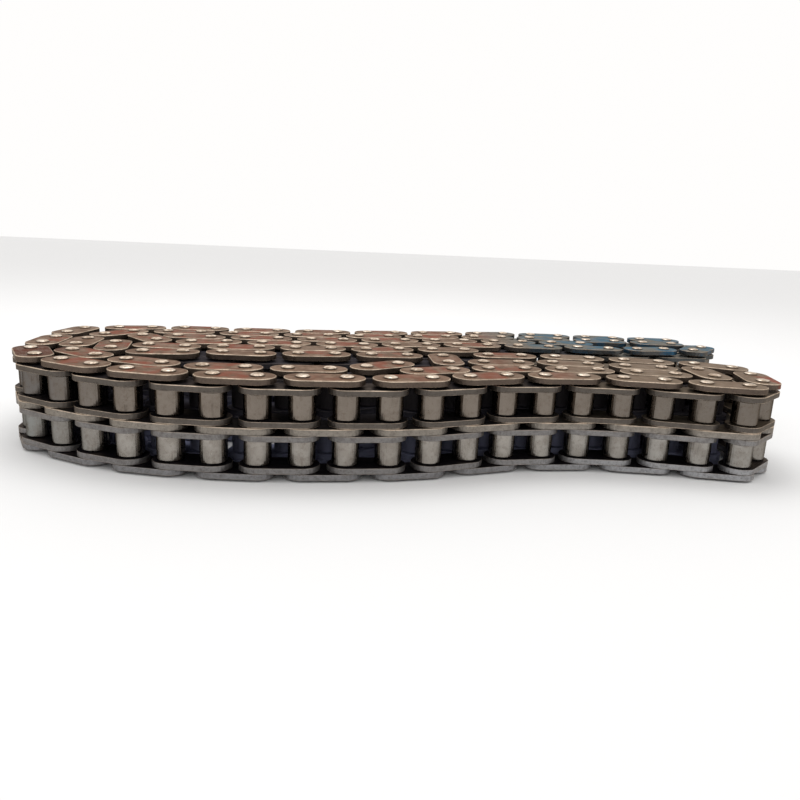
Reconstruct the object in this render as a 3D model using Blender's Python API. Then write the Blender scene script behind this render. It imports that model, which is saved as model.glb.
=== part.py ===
"""Duplex roller chain, 19.05 mm pitch, folded into a flat stack that lies on its side.

The pins stand upright, so +Z runs along them, and the stack rests on the pins' lower ends at Z = 0.
The rows of the stack run along X. The origin is at the middle of the footprint.
Pin 0 is the free end of the chain, at the back right. The first five links from it are built piece by
piece and hinge on their pins. The rest of the chain is a row of solid runs that follow the same route.
"""

from math import cos, pi, radians, sin

import bmesh
import bpy
import numpy as np

# Driving dimensions, in metres
PITCH = 0.01905
ROLLER_DIAMETER = 0.01207
PLATE_HEIGHT = 0.01613
PLATE_THICKNESS = 0.0027
MIDDLE_THICKNESS = 0.0031
INNER_WIDTH = 0.0117
PIN_DIAMETER = 0.00572
PIN_END = 0.001
BUSH_DIAMETER = 0.0084

# Clearances
BUSH_BORE_DIAMETER = 0.00604
ROLLER_BORE_DIAMETER = 0.0089
PRESS_GAP = 0.00012
ROLLER_END_GAP = 0.00015
REST_GAP = 0.0001
LINK_PLAY = 0.0013
RUN_END_GAP = 0.0003
LANE_GAP = 0.0008

# The chain and its route
LINKS = 159
TAIL_LINKS = 5
TAIL_DIRECTION = radians(-6)
FREE_END = (11.1, 3.6)
ROUNDS = 1500
HOLD = 0.08

# Round shapes are drawn with this many sides
ROUND_SIDES = 12
PLATE_END_SIDES = 6
RUN_CORNER = radians(40)
PLAIN_CORNER = radians(16)
ROUTE_TOLERANCE = 0.0003

# Where the folded chain lies: (pin number, x, y), with x and y in pitches
GUIDE_PINS = (
    # back row, from the hinged tail to the left
    (8, 3.15, 4.15), (10, 1.15, 3.9), (12, -0.8, 3.6), (14, -2.75, 3.5), (17, -5.75, 3.5), (18, -6.75, 3.6),
    (20, -8.7, 3.35),
    # left turn
    (21, -9.6, 3.15), (22, -9.95, 2.25), (23, -9.75, 1.25), (24, -9.45, 0.25), (25, -9.45, -0.75),
    (26, -9.2, -1.7),
    # front row, to the right
    (27, -8.55, -2.45), (28, -7.75, -3.1), (29, -6.9, -3.6), (32, -3.95, -4.15), (35, -0.95, -4.15),
    (38, 1.95, -3.45), (40, 3.95, -3.35), (42, 5.95, -3.8), (44, 7.85, -4.4),
    # right turn, and the row behind it to the left
    (45, 8.65, -3.75), (46, 8.95, -2.75), (47, 9.1, -1.8), (48, 8.25, -1.25), (50, 6.25, -0.85),
    (52, 4.25, -0.5), (54, 2.25, -0.5),
    # middle row, to the left
    (55, 1.7, 0.35), (58, -1.3, 0.15), (61, -4.25, 0.0), (63, -6.25, -0.1), (64, -7.15, 0.4),
    (65, -8.1, 0.55),
    # fold, and back to the right
    (66, -8.05, -0.4), (67, -7.15, -0.85), (70, -4.15, -1.0), (73, -1.15, -0.85), (75, 0.85, -0.85),
    # step nearer the front, and on to the right
    (76, 0.85, -1.85), (79, 3.8, -1.55), (81, 5.8, -1.85), (83, 7.8, -2.2),
    # fold, and the second row to the left with its kink
    (84, 7.65, -3.15), (87, 4.7, -2.55), (90, 1.7, -2.6), (92, -0.2, -3.2), (93, -0.55, -2.25),
    (94, -1.4, -2.7), (95, -2.3, -3.1), (98, -5.3, -3.05), (100, -7.15, -2.5),
    # inner left turn
    (102, -8.6, -1.2), (103, -9.0, -0.2), (104, -9.1, 0.75), (105, -8.8, 1.65), (106, -8.0, 2.25),
    # row in front of the back one, to the right
    (109, -5.05, 2.75), (112, -2.05, 2.75), (115, 0.9, 3.05), (118, 3.9, 3.4), (120, 5.9, 3.4),
    (122, 7.85, 3.3),
    # fold, and to the left
    (123, 8.7, 2.95), (124, 9.5, 2.7), (125, 10.3, 2.15), (126, 9.7, 1.45), (128, 7.75, 1.45),
    (131, 4.75, 1.4), (134, 1.7, 1.5), (137, -1.25, 1.0), (140, -4.25, 0.9), (142, -6.25, 0.95),
    # innermost fold, and to the right to the nested end
    (143, -7.1, 0.95), (144, -7.65, 1.65), (147, -4.75, 1.8), (150, -1.75, 1.75), (153, 1.15, 2.2),
    (156, 4.2, 2.35), (159, 7.2, 2.35),
)

# The chain behind the tail: name, first pin, last pin
RUNS = (
    ("back_row_run", 6, 19),
    ("left_turn_run", 19, 31),
    ("front_row_run", 31, 43),
    ("right_turn_run", 43, 52),
    ("middle_row_run", 52, 63),
    ("left_fold_run", 63, 74),
    ("step_run", 74, 82),
    ("second_row_run", 82, 91),
    ("inner_left_turn_run", 91, 109),
    ("inner_back_row_run", 109, 123),
    ("right_fold_run", 123, 138),
    ("nested_end_run", 138, 159),
)

# Heights of an inner link's plates, measured from the middle of its strand
INNER_FACE = INNER_WIDTH / 2
INNER_BACK = INNER_FACE + PLATE_THICKNESS

# Heights above the surface, from the pins' lower ends upwards. Each plate rests on the one below, so the
# play of the links along the pins is all under the top plate.
BOTTOM_PLATE = PIN_END
LOWER_STRAND = BOTTOM_PLATE + PLATE_THICKNESS + REST_GAP + INNER_BACK
MIDDLE_PLATE = LOWER_STRAND + INNER_BACK + REST_GAP
UPPER_STRAND = MIDDLE_PLATE + MIDDLE_THICKNESS + REST_GAP + INNER_BACK
TOP_PLATE = UPPER_STRAND + INNER_BACK + LINK_PLAY
PIN_LENGTH = TOP_PLATE + PLATE_THICKNESS + PIN_END

# Colour, roughness and metallic value of each kind of piece
FINISHES = {
    "outer_plate_steel": ((0.30, 0.25, 0.21), 0.45, 0.9),
    "inner_plate_steel": ((0.36, 0.33, 0.30), 0.40, 0.9),
    "middle_plate_steel": ((0.33, 0.31, 0.29), 0.40, 0.9),
    "roller_steel": ((0.42, 0.39, 0.35), 0.30, 1.0),
    "bush_steel": ((0.25, 0.24, 0.23), 0.35, 1.0),
    "pin_steel": ((0.70, 0.66, 0.58), 0.25, 1.0),
    "chain_run_steel": ((0.33, 0.29, 0.26), 0.45, 0.9),
}


# ---------------------------------------------------------------- the route

def tail_pins():
    """The pins of the straight, hinged tail, in pitches."""
    away = np.array((cos(TAIL_DIRECTION), sin(TAIL_DIRECTION)))
    return [np.array(FREE_END) - away * k for k in range(TAIL_LINKS + 2)]


def guide_route():
    """Every pin, spaced evenly by number between the guide pins."""
    fixed = [(k, *p) for k, p in enumerate(tail_pins())]
    rows = np.array(fixed + list(GUIDE_PINS), float)
    wanted = np.arange(LINKS + 1)
    return np.stack([np.interp(wanted, rows[:, 0], rows[:, axis]) for axis in (1, 2)], 1)


def part_lanes(pins, clear, free):
    """Move pins so that no plate comes nearer than clear to another part of the chain."""
    start = pins[:-1]
    along = pins[1:] - start
    offset = pins[:, None] - start[None]
    share = (offset * along[None]).sum(2) / (along * along).sum(1)[None]
    share = np.clip(share, 0, 1)
    apart = offset - share[..., None] * along[None]
    gap = np.linalg.norm(apart, axis=2)
    pin, link = np.nonzero(gap < clear)
    others = (link != pin) & (link != pin - 1)
    pin, link = pin[others], link[others]
    push = apart[pin, link] * ((clear - gap[pin, link]) / gap[pin, link] / 2)[:, None]
    far = share[pin, link][:, None]
    move = np.zeros_like(pins)
    pushes = np.zeros(len(pins))
    for index, step in ((pin, push), (link, -push * (1 - far)), (link + 1, -push * far)):
        np.add.at(move, index, step)
        np.add.at(pushes, index, 1)
    return pins + move / np.maximum(1, pushes / 2)[:, None] * free[:, None]


def settled_route():
    """The pins in metres, one pitch apart along the chain, centred on the footprint."""
    target = guide_route()
    pins = target.copy()
    clear = (PLATE_HEIGHT + LANE_GAP) / PITCH
    held = TAIL_LINKS + 2
    free = np.ones(len(pins))
    free[:held] = 0
    for turn in range(ROUNDS):
        hold = HOLD * max(0.0, 1 - 1.4 * turn / ROUNDS)
        pins += (target - pins) * (hold * free)[:, None]
        pins = part_lanes(pins, clear, free)
        for k in range(held - 1, LINKS):
            step = pins[k + 1] - pins[k]
            error = step * (1 - 1 / np.hypot(*step))
            if k < held:
                pins[k + 1] -= error
            else:
                pins[k] += error / 2
                pins[k + 1] -= error / 2
    pins *= PITCH
    return pins - (pins.min(0) + pins.max(0)) / 2


# ---------------------------------------------------------------- scene helpers

def clear_scene():
    for thing in list(bpy.data.objects):
        bpy.data.objects.remove(thing, do_unlink=True)


def make_materials():
    made = {}
    for name, (colour, roughness, metallic) in FINISHES.items():
        material = bpy.data.materials.new(name)
        material.use_nodes = True
        shader = material.node_tree.nodes["Principled BSDF"]
        shader.inputs["Base Color"].default_value = (*colour, 1)
        shader.inputs["Roughness"].default_value = roughness
        shader.inputs["Metallic"].default_value = metallic
        made[name] = material
    return made


def make_object(name, mesh, finish, parent=None, location=(0, 0, 0)):
    thing = bpy.data.objects.new(name, mesh)
    bpy.context.collection.objects.link(thing)
    if not mesh.materials:
        mesh.materials.append(bpy.data.materials[finish])
    thing.parent = parent
    thing.location = location
    return thing


def make_frame(name, parent, location, turn=0.0):
    frame = bpy.data.objects.new(name, None)
    bpy.context.collection.objects.link(frame)
    frame.empty_display_size = PITCH / 2
    frame.parent = parent
    frame.location = location
    frame.rotation_euler = (0, 0, turn)
    return frame


def finish_mesh(name, shape, smooth=False):
    """Turn a bmesh into a mesh with its faces pointing out."""
    bmesh.ops.recalc_face_normals(shape, faces=shape.faces)
    mesh = bpy.data.meshes.new(name)
    shape.to_mesh(mesh)
    shape.free()
    if smooth:
        mesh.shade_smooth()
        mesh.set_sharp_from_angle(angle=radians(40))
    return mesh


# ---------------------------------------------------------------- piece shapes

def circle_points(centre, radius, sides=ROUND_SIDES, start=0.0, sweep=2 * pi):
    """Points on an arc around (centre, 0). A full circle leaves out its last point."""
    count = sides if sweep == 2 * pi else sides + 1
    angles = [start + sweep * k / sides for k in range(count)]
    return [(centre + radius * cos(a), radius * sin(a)) for a in angles]


def closed_edges(shape, points, height=0.0):
    corners = [shape.verts.new((x, y, height)) for x, y in points]
    return [shape.edges.new((a, b)) for a, b in zip(corners, corners[1:] + corners[:1])]


def prism_mesh(name, outlines, thickness):
    """A flat plate from an outer outline and its holes, from Z = 0 upwards."""
    shape = bmesh.new()
    edges = []
    for points in outlines:
        edges += closed_edges(shape, points)
    bmesh.ops.triangle_fill(shape, edges=edges, use_beauty=True)
    flat = shape.faces[:]
    grown = bmesh.ops.extrude_face_region(shape, geom=flat)["geom"]
    raised = [part for part in grown if isinstance(part, bmesh.types.BMVert)]
    bmesh.ops.translate(shape, verts=raised, vec=(0, 0, thickness))
    return finish_mesh(name, shape)


def plate_outline(radius=PLATE_HEIGHT / 2):
    """Straight-sided plate with round ends, around the pins at x = 0 and x = PITCH."""
    near = circle_points(0, radius, PLATE_END_SIDES, pi / 2, pi)
    far = circle_points(PITCH, radius, PLATE_END_SIDES, -pi / 2, pi)
    return near + far


def plate_mesh(name, hole_diameter, thickness=PLATE_THICKNESS):
    holes = [circle_points(x, hole_diameter / 2) for x in (0, PITCH)]
    return prism_mesh(name, [plate_outline()] + holes, thickness)


def tube_mesh(name, outer, bore, length):
    """A sleeve along Z, centred on the origin."""
    shape = bmesh.new()
    rings = []
    for radius, height in ((outer / 2, -1), (outer / 2, 1), (bore / 2, 1), (bore / 2, -1)):
        points = circle_points(0, radius)
        rings.append([shape.verts.new((x, y, height * length / 2)) for x, y in points])
    for low, high in zip(rings, rings[1:] + rings[:1]):
        for k in range(ROUND_SIDES):
            after = (k + 1) % ROUND_SIDES
            shape.faces.new((low[k], low[after], high[after], high[k]))
    return finish_mesh(name, shape, smooth=True)


def pin_mesh(name):
    shape = bmesh.new()
    bmesh.ops.create_cone(
        shape, cap_ends=True, segments=ROUND_SIDES,
        radius1=PIN_DIAMETER / 2, radius2=PIN_DIAMETER / 2, depth=PIN_LENGTH,
    )
    return finish_mesh(name, shape, smooth=True)


# ---------------------------------------------------------------- the hinged tail

def make_inner_link(number, frame, meshes):
    """Four plates, four bushes and four rollers. Ends a and b are at the free and hinge side."""
    for strand, centre in (("upper", UPPER_STRAND), ("lower", LOWER_STRAND)):
        for side, lift in (("top", INNER_FACE), ("bottom", -INNER_BACK)):
            make_object(
                f"link_{number}_{strand}_{side}_inner_plate", meshes["inner_plate"],
                "inner_plate_steel", frame, (0, 0, centre + lift),
            )
        for end, x in (("a", PITCH), ("b", 0)):
            make_object(
                f"link_{number}_{strand}_bush_{end}", meshes["bush"],
                "bush_steel", frame, (x, 0, centre),
            )
            make_object(
                f"link_{number}_{strand}_roller_{end}", meshes["roller"],
                "roller_steel", frame, (x, 0, centre),
            )


def make_outer_link(number, frame, meshes):
    """Two outer plates, the middle plate between the strands and the two pins that they share."""
    for side, height in (("top", TOP_PLATE), ("bottom", BOTTOM_PLATE)):
        make_object(
            f"link_{number}_{side}_outer_plate", meshes["outer_plate"],
            "outer_plate_steel", frame, (0, 0, height),
        )
    make_object(
        f"link_{number}_middle_plate", meshes["middle_plate"],
        "middle_plate_steel", frame, (0, 0, MIDDLE_PLATE),
    )
    for end, x in (("a", PITCH), ("b", 0)):
        place = (x, 0, PIN_LENGTH / 2)
        make_object(f"link_{number}_pin_{end}", meshes["pin"], "pin_steel", frame, place)


def make_tail(pins):
    """Five links, each on a frame at its hinge pin, which is the child of the next link's frame."""
    pin_hole = PIN_DIAMETER + 2 * PRESS_GAP
    roller_length = INNER_WIDTH - 2 * ROLLER_END_GAP
    meshes = {
        "inner_plate": plate_mesh("inner_plate", BUSH_DIAMETER + 2 * PRESS_GAP),
        "outer_plate": plate_mesh("outer_plate", pin_hole),
        "middle_plate": plate_mesh("middle_plate", pin_hole, MIDDLE_THICKNESS),
        "bush": tube_mesh("bush", BUSH_DIAMETER, BUSH_BORE_DIAMETER, 2 * INNER_BACK),
        "roller": tube_mesh("roller", ROLLER_DIAMETER, ROLLER_BORE_DIAMETER, roller_length),
        "pin": pin_mesh("pin"),
    }
    hinge = (*pins[TAIL_LINKS], 0)
    frame = make_frame(f"link_{TAIL_LINKS}_frame", None, hinge, TAIL_DIRECTION)
    for number in range(TAIL_LINKS, 0, -1):
        if number < TAIL_LINKS:
            frame = make_frame(f"link_{number}_frame", frame, (PITCH, 0, 0))
        if number % 2:
            make_inner_link(number, frame, meshes)
        else:
            make_outer_link(number, frame, meshes)


# ---------------------------------------------------------------- the solid runs

# Half width of a run and the height it reaches, from the pins' lower ends to their upper ends
RUN_BANDS = (
    (PIN_DIAMETER / 2, BOTTOM_PLATE),
    (PLATE_HEIGHT / 2, LOWER_STRAND - INNER_FACE),
    (ROLLER_DIAMETER / 2, LOWER_STRAND + INNER_FACE),
    (PLATE_HEIGHT / 2, UPPER_STRAND - INNER_FACE),
    (ROLLER_DIAMETER / 2, UPPER_STRAND + INNER_FACE),
    (PLATE_HEIGHT / 2, TOP_PLATE + PLATE_THICKNESS),
    (PIN_DIAMETER / 2, PIN_LENGTH),
)


def unit(vector):
    return vector / np.hypot(*vector)


def left_of(vector):
    return np.array((-vector[1], vector[0]))


def turned(vector, angle):
    x, y = vector
    return np.array((x * cos(angle) - y * sin(angle), x * sin(angle) + y * cos(angle)))


def bend_between(before, after):
    cross = before[0] * after[1] - before[1] * after[0]
    return np.arctan2(cross, before @ after)


def plain_route(points):
    """Leave out the points that lie within the tolerance of a straight line between others."""
    if len(points) < 3:
        return list(points)
    way = unit(points[-1] - points[0])
    offsets = [abs((p - points[0]) @ left_of(way)) for p in points]
    furthest = int(np.argmax(offsets))
    if offsets[furthest] < ROUTE_TOLERANCE:
        return [points[0], points[-1]]
    return plain_route(points[: furthest + 1])[:-1] + plain_route(points[furthest:])


def side_steps(before, after, side):
    """Outward steps, one half width long, that a run's side takes where its direction changes.

    side is 1 for the left and -1 for the right. The outside of a sharp bend is an arc.
    """
    bend = bend_between(before, after)
    first = left_of(before) * side
    if side * bend < 0 and abs(bend) > PLAIN_CORNER:
        parts = int(np.ceil(abs(bend) / RUN_CORNER))
        return [turned(first, bend * k / parts) for k in range(parts + 1)]
    second = left_of(after) * side
    return [(first + second) / (1 + first @ second)]


def round_end(way):
    """Steps of a half circle from the right of way, round its front, to its left."""
    return [turned(-left_of(way), pi * k / PLATE_END_SIDES) for k in range(PLATE_END_SIDES + 1)]


def run_stations(pins, first, last):
    """Places along a run: (point on the route, outward steps on the right, and on the left).

    An end inside the chain is cut flat on the bisector at its pin. An open end is round.
    """
    route = plain_route(list(pins[first:last + 1]))
    ways = [unit(b - a) for a, b in zip(route, route[1:])]
    half = PLATE_END_SIDES // 2
    if first > TAIL_LINKS + 1:
        before = unit(pins[first] - pins[first - 1])
        right, left = (side_steps(before, ways[0], side)[:1] for side in (-1, 1))
        stations = [(route[0] + ways[0] * RUN_END_GAP / 2, right, left)]
    else:
        cap = round_end(-ways[0])
        stations = [(route[0], cap[half:], cap[:half][::-1])]
    for point, before, after in zip(route[1:-1], ways, ways[1:]):
        stations.append((point, side_steps(before, after, -1), side_steps(before, after, 1)))
    if last < LINKS:
        after = unit(pins[last + 1] - pins[last])
        right, left = (side_steps(ways[-1], after, side)[-1:] for side in (-1, 1))
        stations.append((route[-1] - ways[-1] * RUN_END_GAP / 2, right, left))
    else:
        cap = round_end(ways[-1])
        stations.append((route[-1], cap[:half + 1], cap[:half:-1]))
    return stations


def add_end_wall(shape, pairs):
    """Close a flat end. Narrow and wide bands take turns, so a wide one meets a narrow one above and below."""
    for low in range(0, len(pairs), 2):
        near, far = pairs[low], pairs[low + 1]
        wide = low % 4 == 2
        if wide:
            under, over = pairs[low - 1], pairs[low + 2]
            shape.faces.new((near[0], under[0], over[0], far[0]))
            shape.faces.new((near[1], under[1], over[1], far[1]))
            near, far = under, over
        shape.faces.new((near[0], near[1], far[1], far[0]))


def run_mesh(name, pins, first, last):
    """Stack the bands of a run on its outline, which goes up its right side and down its left."""
    stations = run_stations(pins, first, last)
    right = [(point, step) for point, steps, _ in stations for step in steps]
    left = [(point, step) for point, _, steps in stations for step in steps]
    outline = right + left[::-1]
    count = len(outline)

    covers = []
    on_right, on_left = 0, count - 1
    for number, (_, rights, lefts) in enumerate(stations):
        if number:
            covers.append((on_right - 1, on_right, on_left, on_left + 1))
        if len(rights) + len(lefts) > 2:
            covers.append([*range(on_right, on_right + len(rights)),
                           *range(on_left - len(lefts) + 1, on_left + 1)])
        on_right += len(rights)
        on_left -= len(lefts)
    flat = set()
    if first > TAIL_LINKS + 1:
        flat.add(count - 1)
    if last < LINKS:
        flat.add(len(right) - 1)

    shape = bmesh.new()
    rings = []
    low = 0.0
    for half_width, high in RUN_BANDS:
        corners = [point + step * half_width for point, step in outline]
        for height in (low, high):
            rings.append([shape.verts.new((*corner, height)) for corner in corners])
        low = high
    for below, above in zip(rings, rings[1:]):
        for k in range(count):
            after = (k + 1) % count
            if k not in flat:
                shape.faces.new((below[k], below[after], above[after], above[k]))
    for k in flat:
        add_end_wall(shape, [(ring[k], ring[(k + 1) % count]) for ring in rings])
    for cover in covers:
        shape.faces.new([rings[0][k] for k in reversed(cover)])
        shape.faces.new([rings[-1][k] for k in cover])
    return finish_mesh(name, shape)


def hinge_link_shapes():
    """The outer plates and the pin that the tail hinges on, as meshes around that pin."""
    narrow = PLATE_HEIGHT / 2 - 0.00006
    thin = PLATE_THICKNESS - 0.00005
    outline = [(PITCH - x, -y) for x, y in plate_outline(narrow)]
    yield "top", prism_mesh("hinge_top_plate", [outline], thin), TOP_PLATE
    yield "middle", prism_mesh("hinge_middle_plate", [outline], MIDDLE_THICKNESS), MIDDLE_PLATE
    yield "bottom", prism_mesh("hinge_bottom_plate", [outline], thin), BOTTOM_PLATE + 0.00005
    yield "pin", pin_mesh("hinge_pin"), PIN_LENGTH / 2


def add_hinge_link(run, pins):
    """Join the outer link between the tail and the back row to the back row's run."""
    for label, mesh, height in hinge_link_shapes():
        place = (*pins[TAIL_LINKS], height)
        guide = make_object(f"hinge_{label}_shape", mesh, "chain_run_steel", None, place)
        guide.rotation_euler = (0, 0, TAIL_DIRECTION + pi)
        guide.hide_render = True
        guide.display_type = "WIRE"
        union = run.modifiers.new(f"join_{label}", "BOOLEAN")
        union.operation = "UNION"
        union.solver = "EXACT"
        union.object = guide


def make_runs(pins):
    for name, first, last in RUNS:
        run = make_object(name, run_mesh(name, pins, first, last), "chain_run_steel")
        if first == TAIL_LINKS + 1:
            add_hinge_link(run, pins)


clear_scene()
make_materials()
ROUTE = settled_route()
make_tail(ROUTE)
make_runs(ROUTE)
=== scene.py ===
"""Looks of the duplex roller chain: every plate, bush, roller and pin of its 159 links, in worn, oiled steel.

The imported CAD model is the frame. Its twelve solid runs are replaced by their real links on the same route,
and each piece of the hinged tail is replaced by a finer one that rides on the same body.
"""

from math import asin, cos, pi, radians, sin, tau

import bpy
import numpy as np
from mathutils import Matrix, Vector


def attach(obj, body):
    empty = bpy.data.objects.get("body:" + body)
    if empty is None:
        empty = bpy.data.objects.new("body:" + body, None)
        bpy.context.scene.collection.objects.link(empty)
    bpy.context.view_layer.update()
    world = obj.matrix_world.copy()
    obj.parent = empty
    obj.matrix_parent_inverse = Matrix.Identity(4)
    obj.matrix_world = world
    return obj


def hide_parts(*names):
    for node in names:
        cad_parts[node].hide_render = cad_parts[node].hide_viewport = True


MM = 0.001

# The chain, in metres, as in the CAD source
PITCH = 0.01905
ROLLER_DIAMETER = 0.01207
PLATE_HEIGHT = 0.01613
PLATE_THICKNESS = 0.0027
MIDDLE_THICKNESS = 0.0031
INNER_WIDTH = 0.0117
PIN_DIAMETER = 0.00572
PIN_END = 0.001
BUSH_DIAMETER = 0.0084
BUSH_BORE_DIAMETER = 0.00604
ROLLER_BORE_DIAMETER = 0.0089
PRESS_GAP = 0.00012
ROLLER_END_GAP = 0.00015
REST_GAP = 0.0001
LINK_PLAY = 0.0013
LANE_GAP = 0.0008

# The chain's count and its tail, as in the CAD source
LINKS = 159
TAIL_LINKS = 5
TAIL_DIRECTION = radians(-6)
FREE_END = (11.1, 3.6)

# Settling, as in the CAD source: its rounds, and the pull to the guide pins, which fades out on the way
ROUNDS = 1500
HOLD = 0.08
HOLD_FADE = 1.4

# Where the folded chain lies: (pin number, x, y), with x and y in pitches, as in the CAD source
GUIDE_PINS = (
    # back row, from the hinged tail to the left
    (8, 3.15, 4.15), (10, 1.15, 3.9), (12, -0.8, 3.6), (14, -2.75, 3.5), (17, -5.75, 3.5), (18, -6.75, 3.6),
    (20, -8.7, 3.35),
    # left turn
    (21, -9.6, 3.15), (22, -9.95, 2.25), (23, -9.75, 1.25), (24, -9.45, 0.25), (25, -9.45, -0.75),
    (26, -9.2, -1.7),
    # front row, to the right
    (27, -8.55, -2.45), (28, -7.75, -3.1), (29, -6.9, -3.6), (32, -3.95, -4.15), (35, -0.95, -4.15),
    (38, 1.95, -3.45), (40, 3.95, -3.35), (42, 5.95, -3.8), (44, 7.85, -4.4),
    # right turn, and the row behind it to the left
    (45, 8.65, -3.75), (46, 8.95, -2.75), (47, 9.1, -1.8), (48, 8.25, -1.25), (50, 6.25, -0.85),
    (52, 4.25, -0.5), (54, 2.25, -0.5),
    # middle row, to the left
    (55, 1.7, 0.35), (58, -1.3, 0.15), (61, -4.25, 0.0), (63, -6.25, -0.1), (64, -7.15, 0.4),
    (65, -8.1, 0.55),
    # fold, and back to the right
    (66, -8.05, -0.4), (67, -7.15, -0.85), (70, -4.15, -1.0), (73, -1.15, -0.85), (75, 0.85, -0.85),
    # step nearer the front, and on to the right
    (76, 0.85, -1.85), (79, 3.8, -1.55), (81, 5.8, -1.85), (83, 7.8, -2.2),
    # fold, and the second row to the left with its kink
    (84, 7.65, -3.15), (87, 4.7, -2.55), (90, 1.7, -2.6), (92, -0.2, -3.2), (93, -0.55, -2.25),
    (94, -1.4, -2.7), (95, -2.3, -3.1), (98, -5.3, -3.05), (100, -7.15, -2.5),
    # inner left turn
    (102, -8.6, -1.2), (103, -9.0, -0.2), (104, -9.1, 0.75), (105, -8.8, 1.65), (106, -8.0, 2.25),
    # row in front of the back one, to the right
    (109, -5.05, 2.75), (112, -2.05, 2.75), (115, 0.9, 3.05), (118, 3.9, 3.4), (120, 5.9, 3.4),
    (122, 7.85, 3.3),
    # fold, and to the left
    (123, 8.7, 2.95), (124, 9.5, 2.7), (125, 10.3, 2.15), (126, 9.7, 1.45), (128, 7.75, 1.45),
    (131, 4.75, 1.4), (134, 1.7, 1.5), (137, -1.25, 1.0), (140, -4.25, 0.9), (142, -6.25, 0.95),
    # innermost fold, and to the right to the nested end
    (143, -7.1, 0.95), (144, -7.65, 1.65), (147, -4.75, 1.8), (150, -1.75, 1.75), (153, 1.15, 2.2),
    (156, 4.2, 2.35), (159, 7.2, 2.35),
)

# The CAD runs: node, first pin, last pin. The first run also stands for the link between the tail and it.
RUNS = (
    ("back_row_run", 6, 19),
    ("left_turn_run", 19, 31),
    ("front_row_run", 31, 43),
    ("right_turn_run", 43, 52),
    ("middle_row_run", 52, 63),
    ("left_fold_run", 63, 74),
    ("step_run", 74, 82),
    ("second_row_run", 82, 91),
    ("inner_left_turn_run", 91, 109),
    ("inner_back_row_run", 109, 123),
    ("right_fold_run", 123, 138),
    ("nested_end_run", 138, 159),
)

# Heights of an inner link's plates, measured from the middle of its strand
INNER_FACE = INNER_WIDTH / 2
INNER_BACK = INNER_FACE + PLATE_THICKNESS

# Heights above the floor, from the pins' lower ends upwards, as in the CAD source
BOTTOM_PLATE = PIN_END
LOWER_STRAND = BOTTOM_PLATE + PLATE_THICKNESS + REST_GAP + INNER_BACK
MIDDLE_PLATE = LOWER_STRAND + INNER_BACK + REST_GAP
UPPER_STRAND = MIDDLE_PLATE + MIDDLE_THICKNESS + REST_GAP + INNER_BACK
TOP_PLATE = UPPER_STRAND + INNER_BACK + LINK_PLAY
PIN_LENGTH = TOP_PLATE + PLATE_THICKNESS + PIN_END

# The links before this one lie around the outside of the stack, and the rest lie inside, apart from the
# fold that can be seen at the right
FIRST_INSIDE = 53
OPEN_FOLD = range(121, 130)

# Fineness of the round shapes
PLATE_ARC_STEPS = 14
CORNER_STEPS = 3
ROLLER_SIDES = 36
BUSH_SIDES = 24
PIN_SIDES = 24

# Edges: a plate is punched, with a rounded upper and a broken lower edge
PUNCHED_EDGE = 0.34 * MM
BROKEN_EDGE = 0.12 * MM
ROLLER_EDGE = 0.45 * MM
BUSH_EDGE = 0.3 * MM
BORE_CHAMFER = 0.2 * MM

# What makes the copies differ from each other, the same each time
SEED = 159

# Camera: its heading turns clockwise from +Y
CAMERA_PLACE = (-3.622 * PITCH, -19.198 * PITCH, 0.1031)
CAMERA_HEADING = radians(8.57)
CAMERA_DOWN = radians(13.1)
CAMERA_ROLL = radians(2.63)
CAMERA_LENS = 30.5
SENSOR_WIDTH = 36.0


# ---------------------------------------------------------------- the route, as in the CAD source

def tail_pins():
    """The pins of the straight, hinged tail, in pitches."""
    away = np.array((cos(TAIL_DIRECTION), sin(TAIL_DIRECTION)))
    return [np.array(FREE_END) - away * k for k in range(TAIL_LINKS + 2)]


def guide_route():
    """Every pin, spaced evenly by number between the guide pins."""
    fixed = [(k, *p) for k, p in enumerate(tail_pins())]
    rows = np.array(fixed + list(GUIDE_PINS), float)
    wanted = np.arange(LINKS + 1)
    return np.stack([np.interp(wanted, rows[:, 0], rows[:, axis]) for axis in (1, 2)], 1)


def part_lanes(pins, clear, free):
    """Move pins so that no plate comes nearer than clear to another part of the chain."""
    start = pins[:-1]
    along = pins[1:] - start
    offset = pins[:, None] - start[None]
    share = (offset * along[None]).sum(2) / (along * along).sum(1)[None]
    share = np.clip(share, 0, 1)
    apart = offset - share[..., None] * along[None]
    gap = np.linalg.norm(apart, axis=2)
    pin, link = np.nonzero(gap < clear)
    others = (link != pin) & (link != pin - 1)
    pin, link = pin[others], link[others]
    push = apart[pin, link] * ((clear - gap[pin, link]) / gap[pin, link] / 2)[:, None]
    far = share[pin, link][:, None]
    move = np.zeros_like(pins)
    pushes = np.zeros(len(pins))
    for index, step in ((pin, push), (link, -push * (1 - far)), (link + 1, -push * far)):
        np.add.at(move, index, step)
        np.add.at(pushes, index, 1)
    return pins + move / np.maximum(1, pushes / 2)[:, None] * free[:, None]


def settled_route():
    """The pins in metres, one pitch apart along the chain, centred on the footprint."""
    target = guide_route()
    pins = target.copy()
    clear = (PLATE_HEIGHT + LANE_GAP) / PITCH
    held = TAIL_LINKS + 2
    free = np.ones(len(pins))
    free[:held] = 0
    for turn in range(ROUNDS):
        hold = HOLD * max(0.0, 1 - HOLD_FADE * turn / ROUNDS)
        pins += (target - pins) * (hold * free)[:, None]
        pins = part_lanes(pins, clear, free)
        for k in range(held - 1, LINKS):
            step = pins[k + 1] - pins[k]
            error = step * (1 - 1 / np.hypot(*step))
            if k < held:
                pins[k + 1] -= error
            else:
                pins[k] += error / 2
                pins[k + 1] -= error / 2
    pins *= PITCH
    return pins - (pins.min(0) + pins.max(0)) / 2


# ---------------------------------------------------------------- shapes

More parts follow.
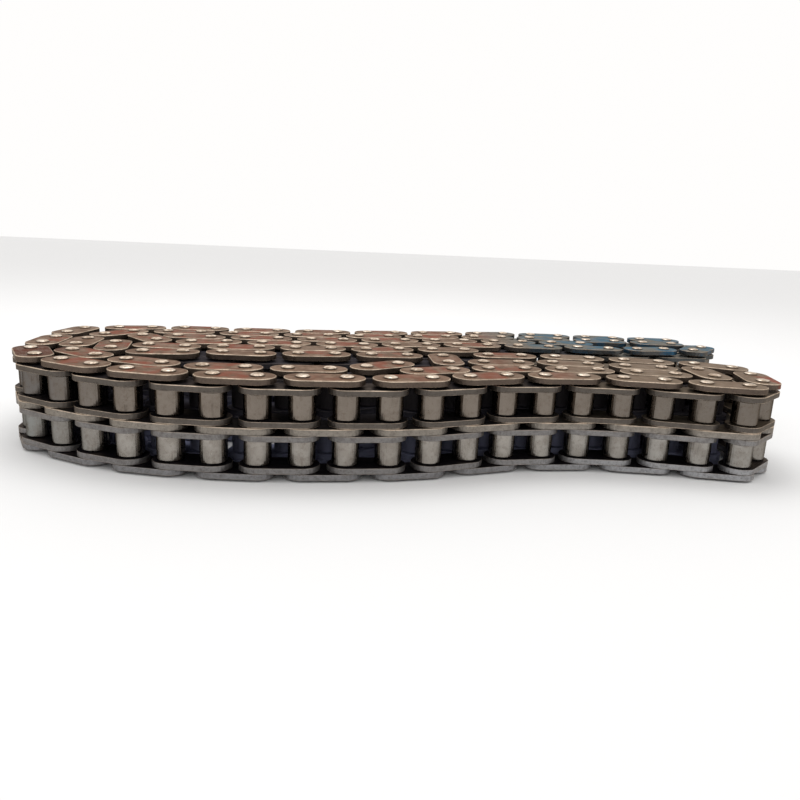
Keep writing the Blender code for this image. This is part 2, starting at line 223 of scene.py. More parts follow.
FLAT = 0.0
WALL = 0.5
ROUNDED = 1.0


class Shape:
    """Points and faces of one piece, around its own origin. Each face is flat, a wall or rounded."""

    def __init__(self):
        self.points = []
        self.faces = []
        self.zones = []
        self.index = {}

    def point(self, x, y, z):
        """The number of a point. A point at the same place is used again."""
        key = (round(x, 7), round(y, 7), round(z, 7))
        if key not in self.index:
            self.index[key] = len(self.points)
            self.points.append((x, y, z))
        return self.index[key]

    def face(self, corners, zone):
        self.faces.append(corners)
        self.zones.append(zone)

    def bridge(self, low, high, zone):
        """Faces between two closed rings of points."""
        for k in range(len(low)):
            after = (k + 1) % len(low)
            self.face((low[k], low[after], high[after], high[k]), zone)


def rounded_corner(radius, steps):
    """(inset, rise) steps of a quarter round, from the wall to the face."""
    angles = [pi / 2 * k / steps for k in range(steps + 1)]
    return [(radius * (1 - cos(a)), radius * sin(a)) for a in angles]


def plate_rays():
    """Directions from a pin to the rim of its half of a plate, anticlockwise from the link's middle."""
    corner = asin(PLATE_HEIGHT / np.hypot(PLATE_HEIGHT, PITCH))
    inside = [corner * k / 2 for k in range(3)]
    straight = [corner + (pi / 2 - corner) * k / 3 for k in (1, 2)]
    arc = [pi / 2 + pi * k / PLATE_ARC_STEPS for k in range(PLATE_ARC_STEPS + 1)]
    below = [tau - a for a in reversed(inside[1:] + straight)]
    return inside + straight + arc + below


def rim_point(ray, inset=0.0):
    """Where a ray from the pin meets the rim of the plate's half, or the line between the halves."""
    radius = PLATE_HEIGHT / 2 - inset
    if cos(ray) < 1e-6:
        return radius * cos(ray), radius * sin(ray)
    half = PITCH / 2
    if abs(sin(ray)) * half < cos(ray) * PLATE_HEIGHT / 2 - 1e-9:
        return half, half * sin(ray) / cos(ray)
    outer = min(half, PLATE_HEIGHT / 2 * cos(ray) / abs(sin(ray)))
    return outer, radius if sin(ray) > 0 else -radius


def plate_shape(hole_diameter, thickness=PLATE_THICKNESS):
    """A plate from z = 0 up to its thickness. Its upper edge is rounded by the punch."""
    shape = Shape()
    rays = plate_rays()
    lower = [(BROKEN_EDGE, 0.0), (0.0, BROKEN_EDGE)]
    steps = rounded_corner(PUNCHED_EDGE, CORNER_STEPS)
    upper = [(inset, thickness - PUNCHED_EDGE + rise) for inset, rise in steps]
    levels = lower + upper
    on_rim = [k for k, ray in enumerate(rays) if rim_point(ray)[0] < PITCH / 2 - 1e-9]
    on_rim = [on_rim[0] - 1] + on_rim + [on_rim[-1] + 1]
    rings = []
    for inset, z in levels:
        near = [rim_point(rays[k], inset) for k in on_rim]
        far = [(PITCH - x, -y) for x, y in near]
        rings.append([shape.point(x, y, z) for x, y in near[:-1] + far[:-1]])
    zones = [ROUNDED, WALL] + [ROUNDED] * CORNER_STEPS
    for low, high, zone in zip(rings, rings[1:], zones):
        shape.bridge(high, low, zone)
    hole = hole_diameter / 2
    for mirror in (1, -1):
        def place(x, y, z, mirror=mirror):
            return shape.point(x if mirror > 0 else PITCH - x, y * mirror, z)
        holes = []
        for z, (inset, _) in ((0.0, levels[0]), (thickness, levels[-1])):
            ring = [place(hole * cos(ray), hole * sin(ray), z) for ray in rays]
            rim = [place(*rim_point(ray, inset), z) for ray in rays]
            if z:
                shape.bridge(rim, ring, FLAT)
            else:
                shape.bridge(ring, rim, FLAT)
            holes.append(ring)
        shape.bridge(holes[1], holes[0], WALL)
    return shape


def turned_shape(profile, sides):
    """A closed profile of (radius, z, zone of the band after it), turned around Z."""
    shape = Shape()
    rings = []
    for radius, z, _ in profile:
        angles = [tau * k / sides for k in range(sides)]
        rings.append([shape.point(radius * cos(a), radius * sin(a), z) for a in angles])
    for k, ring in enumerate(rings):
        shape.bridge(ring, rings[(k + 1) % len(rings)], profile[k][2])
    return shape


def sleeve_shape(outer, bore, length, edge, sides):
    """A roller or bush along Z, centred on its origin, with rounded outer edges."""
    radius, half = outer / 2, length / 2
    steps = rounded_corner(edge, CORNER_STEPS)
    bottom = [(radius - inset, -half + edge - rise, ROUNDED) for inset, rise in reversed(steps)]
    top = [(radius - inset, half - edge + rise, ROUNDED) for inset, rise in steps]
    bottom[-1] = (*bottom[-1][:2], WALL)
    top[-1] = (*top[-1][:2], FLAT)
    hole = bore / 2
    bore_top = [(hole + BORE_CHAMFER, half, ROUNDED), (hole, half - BORE_CHAMFER, WALL)]
    bore_bottom = [(hole, BORE_CHAMFER - half, ROUNDED), (hole + BORE_CHAMFER, -half, FLAT)]
    return turned_shape(bottom + top + bore_top + bore_bottom, sides)


def pin_shape():
    """A pin whose ends are spread and domed by riveting, with a shallow dimple in the middle."""
    radius, half = PIN_DIAMETER / 2, PIN_LENGTH / 2
    plate = half - PIN_END
    head = plate + 0.05 * MM
    flare = 0.16 * MM
    rise = half - head
    outline = [
        (radius, plate - 0.3 * MM, ROUNDED),
        (radius + flare, head, WALL),
        (radius + flare * 0.8, head + rise * 0.45, ROUNDED),
        (radius - 0.12 * MM, head + rise * 0.68, ROUNDED),
        (radius - 0.5 * MM, head + rise * 0.86, ROUNDED),
        (radius - 1.1 * MM, head + rise * 0.97, ROUNDED),
        (radius * 0.38, half, ROUNDED),
        (radius * 0.26, half - 0.05 * MM, ROUNDED),
        (radius * 0.12, half - 0.11 * MM, ROUNDED),
    ]
    shape = Shape()
    rings = []
    for side in (-1, 1):
        for r, z, _ in outline if side > 0 else reversed(outline):
            angles = [tau * k / PIN_SIDES for k in range(PIN_SIDES)]
            rings.append([shape.point(r * cos(a), r * sin(a), side * z) for a in angles])
    for low, high in zip(rings, rings[1:]):
        shape.bridge(low, high, ROUNDED)
    for ring, side in ((rings[0], -1), (rings[-1], 1)):
        tip = shape.point(0, 0, side * (half - 0.13 * MM))
        for k in range(PIN_SIDES):
            after = (k + 1) % PIN_SIDES
            corners = (ring[k], ring[after], tip)
            shape.face(corners if side > 0 else corners[::-1], ROUNDED)
    return shape


# ---------------------------------------------------------------- pieces

class Placement:
    """Where one copy of a shape goes: its turn around X first, then its heading, then its place."""

    def __init__(self, place, heading=0.0, flip=False, centre=(0, 0, 0), oil_and_shade=0.0):
        self.place = np.array(place, float)
        self.heading = heading
        self.flip = flip
        self.centre = np.array(centre, float)
        self.oil_and_shade = oil_and_shade

    def moved(self, points):
        points = points * (1, -1, -1) if self.flip else points
        c, s = cos(self.heading), sin(self.heading)
        turn = np.array(((c, -s, 0), (s, c, 0), (0, 0, 1)))
        return points @ turn.T + self.place


def copies_mesh(name, shape, placements, chances):
    """One mesh of many copies of a shape, with what the materials read of each copy.

    own is a point's place in its own copy, measured from the copy's centre. luck differs from copy to copy,
    and the oil mark is 1 in the rows inside the stack, where old oil and painted shade darken the colour.
    """
    points = np.array(shape.points)
    count = len(points)
    faces = []
    moved = []
    own = []
    luck = []
    oil_and_shade = []
    for number, placement in enumerate(placements):
        moved.append(placement.moved(points))
        own.append(points - placement.centre)
        luck += [chances.random()] * count
        oil_and_shade += [placement.oil_and_shade] * count
        faces += [tuple(corner + number * count for corner in face) for face in shape.faces]
    mesh = bpy.data.meshes.new(name)
    mesh.from_pydata(np.concatenate(moved).tolist(), [], faces)
    zones = np.tile(np.array(shape.zones), len(placements))
    own_attribute = mesh.attributes.new("own", "FLOAT_VECTOR", "POINT")
    own_attribute.data.foreach_set("vector", np.concatenate(own).ravel())
    rows = (
        ("luck", "FLOAT", "POINT", luck),
        ("oil_and_shade", "FLOAT", "POINT", oil_and_shade),
        ("zone", "FLOAT", "FACE", zones),
        ("sharp_face", "BOOLEAN", "FACE", zones == FLAT),
    )
    for label, kind, domain, values in rows:
        mesh.attributes.new(label, kind, domain).data.foreach_set("value", values)
    return mesh


def add_piece(name, mesh, kind, body, nodes):
    """Put a piece in the scene, riding on a body and standing for CAD nodes."""
    piece = bpy.data.objects.new(name, mesh)
    bpy.context.collection.objects.link(piece)
    mesh.materials.append(bpy.data.materials[f"{kind}_look"])
    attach(piece, body)
    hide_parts(*nodes)


# Plates of a link: label, the height of the face that rests, and whether the rolled edge is underneath
INNER_PLATES = (
    ("upper_top", UPPER_STRAND + INNER_FACE, False),
    ("upper_bottom", UPPER_STRAND - INNER_FACE, True),
    ("lower_top", LOWER_STRAND + INNER_FACE, False),
    ("lower_bottom", LOWER_STRAND - INNER_FACE, True),
)
OUTER_PLATES = (("top", TOP_PLATE, False), ("bottom", BOTTOM_PLATE + PLATE_THICKNESS, True))
STRANDS = (("upper", UPPER_STRAND), ("lower", LOWER_STRAND))


class Link:
    """The link between two neighbouring pins, with its frame at the first."""

    def __init__(self, number, pins):
        self.inner = number % 2 == 0
        self.start = pins[number]
        self.oil_and_shade = float(number >= FIRST_INSIDE and number not in OPEN_FOLD)
        self.way = pins[number + 1] - pins[number]
        self.heading = np.arctan2(self.way[1], self.way[0])

    def plate(self, height, flip=False, thickness=PLATE_THICKNESS):
        """A plate from height upwards, or downwards if it is flipped."""
        oil_and_shade = self.oil_and_shade if height < TOP_PLATE else 0.0
        return Placement((*self.start, height), self.heading, flip, (PITCH / 2, 0, thickness / 2), oil_and_shade)

    def turned(self, end, height, chances):
        """A roller, bush or pin, turned at random, at the start (0) or the end (1) of the link."""
        return Placement((*self.start + self.way * end, height), chances.random() * tau, oil_and_shade=self.oil_and_shade)


def make_shapes():
    roller = (ROLLER_DIAMETER, ROLLER_BORE_DIAMETER, INNER_WIDTH - 2 * ROLLER_END_GAP)
    bush = (BUSH_DIAMETER, BUSH_BORE_DIAMETER, 2 * INNER_BACK)
    pin_hole = PIN_DIAMETER + PRESS_GAP
    return {
        "outer_plate": plate_shape(pin_hole),
        "middle_plate": plate_shape(pin_hole, MIDDLE_THICKNESS),
        "inner_plate": plate_shape(BUSH_DIAMETER + PRESS_GAP),
        "roller": sleeve_shape(*roller, ROLLER_EDGE, ROLLER_SIDES),
        "bush": sleeve_shape(*bush, BUSH_EDGE, BUSH_SIDES),
        "pin": pin_shape(),
    }


def link_pieces(link, chances):
    """(name, kind, placement) of every piece of a link. End a is the link's first pin."""
    pieces = []
    if link.inner:
        for side, height, flip in INNER_PLATES:
            pieces.append((f"{side}_inner_plate", "inner_plate", link.plate(height, flip)))
        for strand, height in STRANDS:
            for end, letter in enumerate("ab"):
                placement = link.turned(end, height, chances)
                pieces.append((f"{strand}_bush_{letter}", "bush", placement))
                pieces.append((f"{strand}_roller_{letter}", "roller", placement))
        return pieces
    for side, height, flip in OUTER_PLATES:
        pieces.append((f"{side}_outer_plate", "outer_plate", link.plate(height, flip)))
    pieces.append(("middle_plate", "middle_plate", link.plate(MIDDLE_PLATE, thickness=MIDDLE_THICKNESS)))
    for end, letter in enumerate("ab"):
        pieces.append((f"pin_{letter}", "pin", link.turned(end, PIN_LENGTH / 2, chances)))
    return pieces


def make_run(node, links, shapes, chances):
    """One piece for each kind of part in a run of links."""
    gathered = {}
    for link in links:
        for _, kind, placement in link_pieces(link, chances):
            gathered.setdefault(kind, []).append(placement)
    for kind, placements in sorted(gathered.items()):
        name = f"{node}_bushes" if kind == "bush" else f"{node}_{kind}s"
        mesh = copies_mesh(name, shapes[kind], placements, chances)
        add_piece(name, mesh, kind, "root", [node])


def make_tail(pins, shapes, chances):
    """The five hinged links, piece by piece. A roller has a body of its own."""
    for number in range(1, TAIL_LINKS + 1):
        for label, kind, placement in link_pieces(Link(number - 1, pins), chances):
            node = f"link_{number}_{label}"
            body = f"link_{number}"
            if kind == "roller":
                body = f"roller_{number}_{label.replace('roller_', '')}"
            mesh = copies_mesh(f"fine_{node}", shapes[kind], [placement], chances)
            add_piece(f"fine_{node}", mesh, kind, body, [node])


# ---------------------------------------------------------------- materials

def srgb(red, green, blue):
    """A linear colour from screen values of 0 to 255."""
    return (*[((v / 255 + 0.055) / 1.055) ** 2.4 for v in (red, green, blue)], 1.0)


# Where the looks change over the stack, in metres: from the first number to the second. A reach is along X
# and a depth along Y.
UPPER_HALF = (20 * MM, 24 * MM)
# where the painted bluish light low in the stack gives way to old oil and painted shade
OIL_AND_LIGHT_CHANGE = (12 * MM, 30 * MM)
RED_FADE = (0.02, 0.08)
RUST_REACH = (-0.187, -0.178)
RUST_DEPTH = (-0.015, -0.005)
DRAB_REACH = (0.03, 0.09)
PAINT_REACH = (0.1545, 0.1585)
PAINT_DEPTH = (-0.064, -0.055)
CORNER_REACH = (0.04, 0.075)
CORNER_DEPTH = (0.008, 0.02)
SPRAY_GROWTH = (0.055, 0.12)
# the reach and height of the painted floor reflection on the low edges
PALE_REACH = (0.0, 0.1)
PALE_HEIGHT = (6 * MM, 9 * MM)
LEFT_ROLLERS = (-0.2, -0.13)
RIGHT_ROLLERS = (0.02, 0.12)

# Colours of the plates' faces
DARK_OXIDE = srgb(74, 57, 48)
PALE_OXIDE = srgb(104, 87, 74)
RED_LEAD = srgb(134, 68, 52)
RUST = srgb(84, 46, 38)
DRAB = srgb(124, 112, 97)
RED_PAINT = srgb(146, 54, 42)
GREY_OXIDE = srgb(98, 104, 102)
BLUE_PAINT = srgb(40, 98, 124)
# painted shade on the plates' faces low in the stack
SHADED_LOW_FACE = srgb(40, 37, 42)

# Colours of the plates' edges, and of what lies on the plates
# painted reflection of the floor on the edges low in the stack, most at the right
FLOOR_REFLECTION_EDGE = srgb(182, 183, 186)
GREY_EDGE = srgb(76, 82, 84)
BLUE_EDGE = srgb(34, 84, 112)
DARK_EDGE = srgb(70, 62, 58)
# painted highlight on the plates' rounded rims
PAINTED_RIM_HIGHLIGHT = srgb(222, 202, 180)
SPECKS = srgb(48, 42, 40)
# grime and painted shadow around the pin heads on the plates
PIN_GRIME_AND_SHADOW = srgb(26, 20, 19)

# Colours of the rollers in the upper and the lower strand: in the middle of the stack, and at its ends. The
# lower ones are paler, a painted reflection of the floor
UPPER_ROLLER = srgb(126, 117, 108)
LOWER_REFLECTING_ROLLER = srgb(158, 153, 146)
UPPER_LEFT_ROLLER = srgb(92, 92, 93)
LOWER_LEFT_REFLECTING_ROLLER = srgb(122, 124, 122)
UPPER_RIGHT_ROLLER = srgb(96, 92, 87)
LOWER_RIGHT_REFLECTING_ROLLER = srgb(152, 151, 147)

# Old oil and painted shade on the rows inside the stack, with a painted bluish light low in the stack
LOW_OIL_AND_LIGHT = srgb(140, 144, 170)
HIGH_OIL_AND_SHADE = srgb(62, 60, 66)
OIL_AND_SHADE_COVER = 0.85
OIL_ROUGHNESS = 0.8

# How far apart the copies' patterns are taken from the noise along Y
LUCK_SPREAD = 7.3


class Look:
    """A material in the making, on one Principled shader."""

    def __init__(self, name, metallic, edge_tint=(1, 1, 1)):
        self.material = bpy.data.materials.new(name)
        self.material.use_nodes = True
        self.tree = self.material.node_tree
        self.shader = self.tree.nodes["Principled BSDF"]
        self.shader.inputs["Metallic"].default_value = metallic
        self.shader.inputs["Specular Tint"].default_value = (*edge_tint, 1.0)

    def node(self, kind, inputs=None, **settings):
        made = self.tree.nodes.new(kind)
        for key, value in settings.items():
            setattr(made, key, value)
        for key, value in (inputs or {}).items():
            if isinstance(value, bpy.types.NodeSocket):
                self.tree.links.new(value, made.inputs[key])
            else:
                made.inputs[key].default_value = value
        return made

    def attribute(self, name, output="Fac"):
        return self.node("ShaderNodeAttribute", attribute_name=name).outputs[output]

    def math(self, operation, first, second=0.0):
        return self.node("ShaderNodeMath", {0: first, 1: second}, operation=operation).outputs[0]

    def times(self, first, *others):
        """The product of numbers or sockets."""
        for other in others:
            first = self.math("MULTIPLY", first, other)
        return first

    def vector(self, operation, first, second):
        return self.node("ShaderNodeVectorMath", {0: first, 1: second}, operation=operation).outputs[0]

    def ramp(self, value, low, high, to_low=0.0, to_high=1.0):
        """A smooth step of value, from low to high."""
        inputs = {"Value": value, "From Min": low, "From Max": high, "To Min": to_low, "To Max": to_high}
        return self.node("ShaderNodeMapRange", inputs, interpolation_type="SMOOTHSTEP").outputs["Result"]

    def mix(self, share, first, second):
        """The first colour, covered by the second by its share."""
        made = self.node("ShaderNodeMix", {"Factor": share}, data_type="RGBA")
        for socket, value in ((made.inputs[6], first), (made.inputs[7], second)):
            if isinstance(value, bpy.types.NodeSocket):
                self.tree.links.new(value, socket)
            else:
                socket.default_value = value
        return made.outputs[2]

    def noise(self, vector, scale, detail=3.0, roughness=0.55, stretch=(1, 1, 1)):
        """Noise with scale features in a metre."""
        stretched = self.vector("MULTIPLY", vector, stretch)
        inputs = {"Vector": stretched, "Scale": scale, "Detail": detail, "Roughness": roughness}
        return self.node("ShaderNodeTexNoise", inputs).outputs["Fac"]

    def copy_space(self):
        """A point's place in its own copy, shifted so that no two copies have the same pattern."""
        luck = self.attribute("luck")
        shift = self.node("ShaderNodeCombineXYZ", {0: luck, 1: self.times(luck, LUCK_SPREAD), 2: luck})
        return self.vector("ADD", self.attribute("own", "Vector"), shift.outputs[0])

    def parts(self, vector):
        return self.node("ShaderNodeSeparateXYZ", {0: vector}).outputs

    def length(self, x, y):
        """The distance from the Z axis."""
        flat = self.node("ShaderNodeCombineXYZ", {0: x, 1: y, 2: 0.0}).outputs[0]
        return self.node("ShaderNodeVectorMath", {0: flat}, operation="LENGTH").outputs["Value"]

    def oiled_and_shaded(self, colour, z):
        """The colour under old oil and painted shade in the rows inside the stack, with a painted bluish
        light low in the stack.
        """
        oil_and_shade = self.mix(self.ramp(z, *OIL_AND_LIGHT_CHANGE), LOW_OIL_AND_LIGHT, HIGH_OIL_AND_SHADE)
        return self.mix(self.times(self.attribute("oil_and_shade"), OIL_AND_SHADE_COVER), colour, oil_and_shade)

    def finish(self, colour, roughness, height, depth):
        """Link the shader, with dull oil. depth is the relief of the height, in metres."""
        roughness = self.math("MAXIMUM", roughness, self.times(self.attribute("oil_and_shade"), OIL_ROUGHNESS))
        bump = self.node("ShaderNodeBump", {"Height": height, "Distance": depth, "Strength": 1.0})
        self.tree.links.new(colour, self.shader.inputs["Base Color"])
        self.tree.links.new(roughness, self.shader.inputs["Roughness"])
        self.tree.links.new(bump.outputs["Normal"], self.shader.inputs["Normal"])


def plate_look(name, face, worn, edge, low_edge, film):
    """Punched plate: a dull oxide face, smears of red lead between the pins, a painted highlight on the
    rolled edge.

    low_edge is the colour of the edges low in the stack, paler and greyer there as a painted reflection of
    the floor.
    film says how much brown, red and blue there is on the faces, from 0 to 1.
    """
    look = Look(name, metallic=0.9, edge_tint=(0.62, 0.56, 0.5))
    space = look.copy_space()
    own = look.parts(look.attribute("own", "Vector"))
    luck = look.attribute("luck")
    zone = look.attribute("zone")
    rest = look.node("ShaderNodeTexCoord").outputs["Object"]
    place = look.parts(rest)
    clouds = look.noise(space, 170, 4.0)
    mottle = look.noise(space, 520, 3.0, 0.6)
    grain = look.noise(space, 2600, 2.0)
    scratches = look.noise(space, 700, 3.0, stretch=(0.25, 3.0, 1.0))
    high = look.ramp(place["Z"], *UPPER_HALF)
    high_film = look.times(high, film)

    # the oxide on the face, darker in places and paler on some plates
    colour = look.mix(look.ramp(clouds, 0.38, 0.62), face, worn)
    colour = look.mix(look.ramp(mottle, 0.42, 0.66, 0.0, 0.4 * film), colour, DARK_OXIDE)
    colour = look.mix(look.ramp(luck, 0.3, 1.0, 0.0, 0.4 * film), colour, PALE_OXIDE)

    # red lead between the pins of most plates, less at the right
    across = look.math("ABSOLUTE", own["X"])
    between_pins = look.ramp(across, 5 * MM, 9 * MM, 1.0, 0.0)
    some_plates = look.ramp(look.math("FRACT", look.times(luck, 17.0)), 0.1, 0.5)
    patches = look.ramp(look.noise(space, 110, 4.0), 0.38, 0.58)
    less_right = look.ramp(place["X"], *RED_FADE, 0.85, 0.12)
    colour = look.mix(look.times(between_pins, some_plates, patches, less_right, film), colour, RED_LEAD)

    # a rusty plate at the left end, drab plates at the right, red paint on the tip at the right
    near = look.ramp(place["Y"], *RUST_DEPTH, 0.85, 0.0)
    left_tip = look.times(look.ramp(place["X"], *RUST_REACH, 1.0, 0.0), near, high_film)
    colour = look.mix(left_tip, colour, RUST)
    colour = look.mix(look.ramp(place["X"], *DRAB_REACH, 0.0, 0.6), colour, DRAB)
    front = look.ramp(place["Y"], *PAINT_DEPTH, 0.8, 0.0)
    chipped = look.ramp(mottle, 0.35, 0.6, 0.4, 1.0)
    right_tip = look.times(look.ramp(place["X"], *PAINT_REACH), front, high_film, chipped)
    colour = look.mix(right_tip, colour, RED_PAINT)

    # grey plates with sprayed blue at the back right
    corner = look.times(look.ramp(place["X"], *CORNER_REACH), look.ramp(place["Y"], *CORNER_DEPTH))
    colour = look.mix(look.times(corner, 0.85), colour, GREY_OXIDE)
    spray = look.ramp(look.noise(rest, 70, 3.0), 0.44, 0.56)
    blue = look.times(corner, spray, look.ramp(place["X"], *SPRAY_GROWTH, 0.35, 1.0), high_film)
    colour = look.mix(blue, colour, BLUE_PAINT)
    # painted shade: the faces low in the stack, between the plates, are darkened
    colour = look.mix(high, SHADED_LOW_FACE, colour)

    # the edge, with a painted highlight on its rounded rim, stronger on the upper plates
    # the edges low in the stack paler and greyer, most at the right: a painted reflection of the floor
    reflection_right = look.ramp(place["X"], *PALE_REACH, 0.1, 0.6)
    reflection_low = look.ramp(place["Z"], *PALE_HEIGHT, 1.0, 0.2)
    rim = look.mix(high, look.mix(look.times(reflection_right, reflection_low), low_edge, FLOOR_REFLECTION_EDGE), edge)
    rim = look.mix(look.times(corner, high, 0.8), rim, GREY_EDGE)
    rim = look.mix(look.times(blue, 0.8), rim, BLUE_EDGE)
    rim = look.mix(right_tip, rim, RED_PAINT)
    rim = look.mix(look.ramp(mottle, 0.4, 0.7, 0.0, 0.35), rim, DARK_EDGE)
    on_wall = look.ramp(zone, FLAT + 0.1, WALL)
    colour = look.mix(on_wall, colour, rim)
    rounded = look.ramp(zone, WALL + 0.1, ROUNDED)
    brighter_high = look.ramp(high, 0.0, 1.0, 0.25, 0.9)
    duller_corner = look.ramp(corner, 0.0, 1.0, 1.0, 0.45)
    uneven = look.ramp(clouds, 0.35, 0.6, 1.0, 0.55)
    colour = look.mix(look.times(rounded, brighter_high, duller_corner, uneven), colour, PAINTED_RIM_HIGHLIGHT)
    specks = look.ramp(look.noise(space, 1500, 2.0, 0.7), 0.5, 0.7, 0.0, 0.4)
    colour = look.mix(look.times(on_wall, specks), colour, SPECKS)

    # grime and painted shadow around the pins, and old oil with painted shade inside the stack
    pin_side = look.math("ABSOLUTE", look.math("SUBTRACT", across, PITCH / 2))
    grime_and_shadow = look.ramp(look.length(pin_side, own["Y"]), 2.9 * MM, 4.1 * MM, 0.85, 0.0)
    colour = look.mix(grime_and_shadow, colour, PIN_GRIME_AND_SHADOW)
    colour = look.oiled_and_shaded(colour, place["Z"])

    roughness = look.ramp(clouds, 0.3, 0.7, 0.36, 0.52)
    roughness = look.math("ADD", roughness, look.ramp(scratches, 0.35, 0.65, -0.05, 0.08))
    height = look.math("ADD", look.times(grain, 0.5), look.times(scratches, 0.6))
    look.finish(colour, roughness, height, depth=0.05 * MM)


def roller_look():
    """Ground rollers: satin steel with fine marks along them, a few dark stains, and ends darker next to the
    plates.
    """
    look = Look("roller_look", metallic=1.0, edge_tint=(0.3, 0.29, 0.28))
    space = look.copy_space()
    own = look.parts(look.attribute("own", "Vector"))
    luck = look.attribute("luck")
    place = look.parts(look.node("ShaderNodeTexCoord").outputs["Object"])
    clouds = look.noise(space, 160, 3.0)
    lines = look.noise(space, 800, 3.0, stretch=(1.0, 1.0, 0.07))
    mottle = look.noise(space, 560, 3.0, 0.6)
    fine = look.noise(space, 2400, 2.0)
    high = look.ramp(place["Z"], *UPPER_HALF)

    # paler in the lower strand: a painted reflection of the floor
    colour = look.mix(high, LOWER_REFLECTING_ROLLER, UPPER_ROLLER)
    left = look.ramp(place["X"], *LEFT_ROLLERS, 0.8, 0.0)
    colour = look.mix(left, colour, look.mix(high, LOWER_LEFT_REFLECTING_ROLLER, UPPER_LEFT_ROLLER))
    right = look.ramp(place["X"], *RIGHT_ROLLERS, 0.0, 0.5)
    colour = look.mix(right, colour, look.mix(high, LOWER_RIGHT_REFLECTING_ROLLER, UPPER_RIGHT_ROLLER))

    colour = look.mix(look.ramp(clouds, 0.35, 0.65, 0.0, 0.35), colour, srgb(104, 94, 84))
    colour = look.mix(look.ramp(luck, 0.0, 1.0, 0.0, 0.3), colour, srgb(114, 105, 96))
    colour = look.mix(look.ramp(mottle, 0.5, 0.7, 0.0, 0.3), colour, srgb(82, 66, 54))
    stains = look.times(look.ramp(lines, 0.6, 0.74), look.ramp(clouds, 0.5, 0.65), 0.5)
    colour = look.mix(stains, colour, srgb(52, 44, 38))
    # darker towards the ends, next to the plates
    darker_ends = look.ramp(look.math("ABSOLUTE", own["Z"]), 5.0 * MM, INNER_FACE, 0.0, 0.85)
    colour = look.mix(darker_ends, colour, srgb(24, 22, 22))
    # old oil and painted shade in the rows inside the stack
    colour = look.oiled_and_shaded(colour, place["Z"])

    roughness = look.ramp(clouds, 0.3, 0.7, 0.17, 0.27)
    roughness = look.math("ADD", roughness, look.ramp(lines, 0.35, 0.65, -0.04, 0.06))
    height = look.math("ADD", look.times(fine, 0.3), look.times(lines, 0.7))
    look.finish(colour, roughness, height, depth=0.03 * MM)


def pin_look():
    """Riveted pins: bright, lightly turned heads, with grime and painted shadow where they meet the plate."""
    look = Look("pin_look", metallic=1.0, edge_tint=(0.8, 0.76, 0.7))
    space = look.copy_space()
    own = look.parts(look.attribute("own", "Vector"))
    clouds = look.noise(space, 420, 3.0)
    dents = look.noise(space, 650, 1.0)
    fine = look.noise(space, 3500, 2.0)
    colour = look.mix(look.ramp(clouds, 0.4, 0.6), srgb(228, 214, 198), srgb(178, 160, 142))
    plate = PIN_LENGTH / 2 - PIN_END
    # grime and painted shade on the side of the head, low down where it meets the plate
    grime_and_shadow = look.ramp(look.math("ABSOLUTE", own["Z"]), plate, plate + 0.75 * MM, 0.95, 0.0)
    colour = look.mix(grime_and_shadow, colour, srgb(60, 46, 38))

    turning_marks = look.math("SINE", look.times(look.length(own["X"], own["Y"]), 28000.0))
    roughness = look.ramp(clouds, 0.3, 0.7, 0.28, 0.42)
    height = look.math("ADD", look.times(turning_marks, 0.02), look.times(fine, 0.05))
    height = look.math("ADD", height, dents)
    look.finish(colour, roughness, height, depth=0.15 * MM)


def bush_look():
    """Curled bushes: dark, oily steel."""
    look = Look("bush_look", metallic=1.0, edge_tint=(0.5, 0.5, 0.5))
    space = look.copy_space()
    place = look.parts(look.node("ShaderNodeTexCoord").outputs["Object"])
    clouds = look.noise(space, 300, 3.0)
    fine = look.noise(space, 2600, 2.0)
    colour = look.mix(look.ramp(clouds, 0.35, 0.65), srgb(60, 58, 58), srgb(40, 38, 40))
    # old oil and painted shade in the rows inside the stack
    colour = look.oiled_and_shaded(colour, place["Z"])
    roughness = look.ramp(clouds, 0.3, 0.7, 0.28, 0.42)
    look.finish(colour, roughness, fine, depth=0.01 * MM)


def make_materials():
    # face, worn face, edge, and edge low in the stack, paler as a painted reflection of the floor
    brown = (srgb(142, 116, 98), srgb(112, 88, 74), srgb(94, 82, 73), srgb(131, 130, 131))
    grey = (srgb(50, 47, 50), srgb(42, 39, 43), srgb(94, 88, 82), srgb(124, 121, 119))
    pale = (srgb(62, 60, 62), srgb(48, 45, 47), srgb(138, 131, 122), srgb(138, 131, 122))
    plate_look("outer_plate_look", *brown, film=1.0)
    plate_look("inner_plate_look", *grey, film=0.0)
    plate_look("middle_plate_look", *pale, film=0.0)
    roller_look()
    pin_look()
    bush_look()


# ---------------------------------------------------------------- the studio

FLOOR_REACH = 6.0
FLOOR_COLOUR = (0.82, 0.82, 0.82, 1)
ROOM_COLOUR = (1.0, 0.99, 0.98, 1)


def make_floor():
    """A wide pale floor, which the lower pin ends stand on."""
    mesh = bpy.data.meshes.new("floor")
    corners = [(x * FLOOR_REACH, y * FLOOR_REACH, 0) for x, y in ((-1, -1), (1, -1), (1, 1), (-1, 1))]
    mesh.from_pydata(corners, [], [(0, 1, 2, 3)])
    floor = bpy.data.objects.new("floor", mesh)
    bpy.context.collection.objects.link(floor)
    look = Look("floor_paint", metallic=0.0)
    look.shader.inputs["Base Color"].default_value = FLOOR_COLOUR
    look.shader.inputs["Roughness"].default_value = 0.9
    mesh.materials.append(look.material)


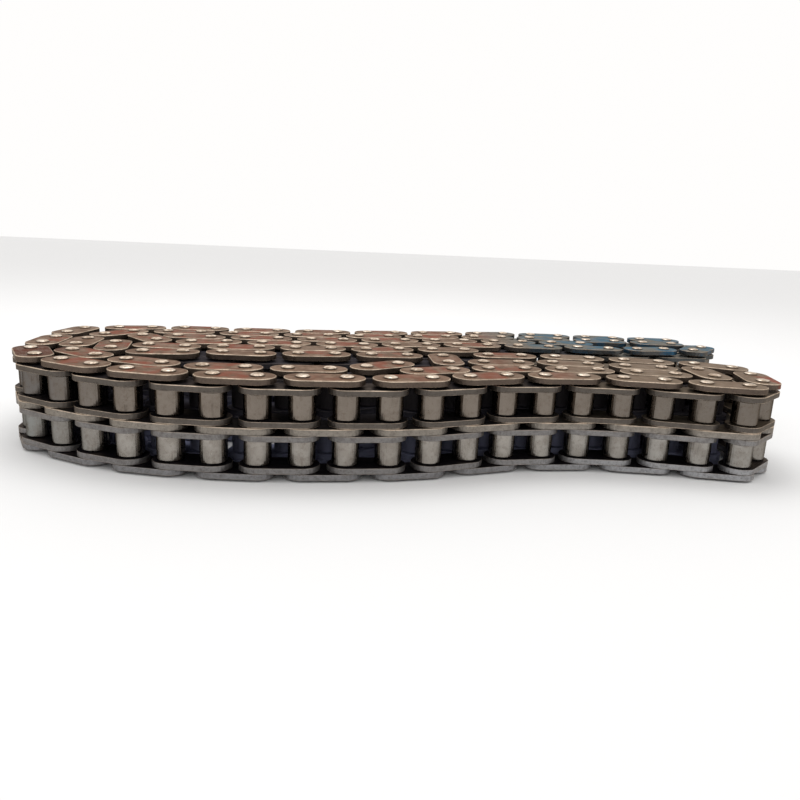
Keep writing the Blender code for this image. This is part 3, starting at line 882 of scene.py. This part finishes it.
def make_light(name, place, target, size, power):
    """A rectangular light at a place, turned to a target. Its power is in watts."""
    light = bpy.data.lights.new(name, "AREA")
    light.shape = "RECTANGLE"
    light.size, light.size_y = size
    light.energy = power
    thing = bpy.data.objects.new(name, light)
    bpy.context.collection.objects.link(thing)
    thing.location = place
    thing.rotation_euler = (Vector(target) - Vector(place)).to_track_quat("-Z", "Y").to_euler()


def make_studio():
    """A bright, even room, a soft light overhead and a weaker one in front."""
    world = bpy.data.worlds.new("studio")
    world.use_nodes = True
    background = world.node_tree.nodes["Background"]
    background.inputs["Color"].default_value = ROOM_COLOUR
    background.inputs["Strength"].default_value = 1.0
    bpy.context.scene.world = world
    make_light("overhead_light", place=(-0.1, 0.25, 0.95), target=(0, 0, 0), size=(0.9, 0.5), power=3.5)
    make_light("front_light", place=(-0.4, -1.5, 0.6), target=(0, 0, 0.02), size=(0.5, 0.35), power=0.7)


def make_camera():
    camera = bpy.data.objects.new("camera", bpy.data.cameras.new("camera"))
    bpy.context.collection.objects.link(camera)
    camera.data.lens = CAMERA_LENS
    camera.data.sensor_width = SENSOR_WIDTH
    camera.data.clip_start = 0.01
    heading = Matrix.Rotation(-CAMERA_HEADING, 4, "Z")
    down = Matrix.Rotation(pi / 2 - CAMERA_DOWN, 4, "X")
    roll = Matrix.Rotation(CAMERA_ROLL, 4, "Z")
    camera.matrix_world = Matrix.Translation(CAMERA_PLACE) @ heading @ down @ roll
    bpy.context.scene.camera = camera


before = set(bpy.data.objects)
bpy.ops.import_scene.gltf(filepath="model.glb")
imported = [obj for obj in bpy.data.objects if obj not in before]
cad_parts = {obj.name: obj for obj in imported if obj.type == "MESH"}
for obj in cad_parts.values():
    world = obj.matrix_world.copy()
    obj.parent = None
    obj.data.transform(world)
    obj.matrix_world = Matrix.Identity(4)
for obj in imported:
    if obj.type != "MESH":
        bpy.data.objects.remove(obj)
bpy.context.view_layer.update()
chances = np.random.default_rng(SEED)
pins = settled_route()
shapes = make_shapes()
make_materials()
make_tail(pins, shapes, chances)
for node, first, last in RUNS:
    begin = TAIL_LINKS if node == "back_row_run" else first
    make_run(node, [Link(k, pins) for k in range(begin, last)], shapes, chances)
make_studio()
make_floor()
make_camera()
bpy.context.scene.view_settings.view_transform = "Standard"
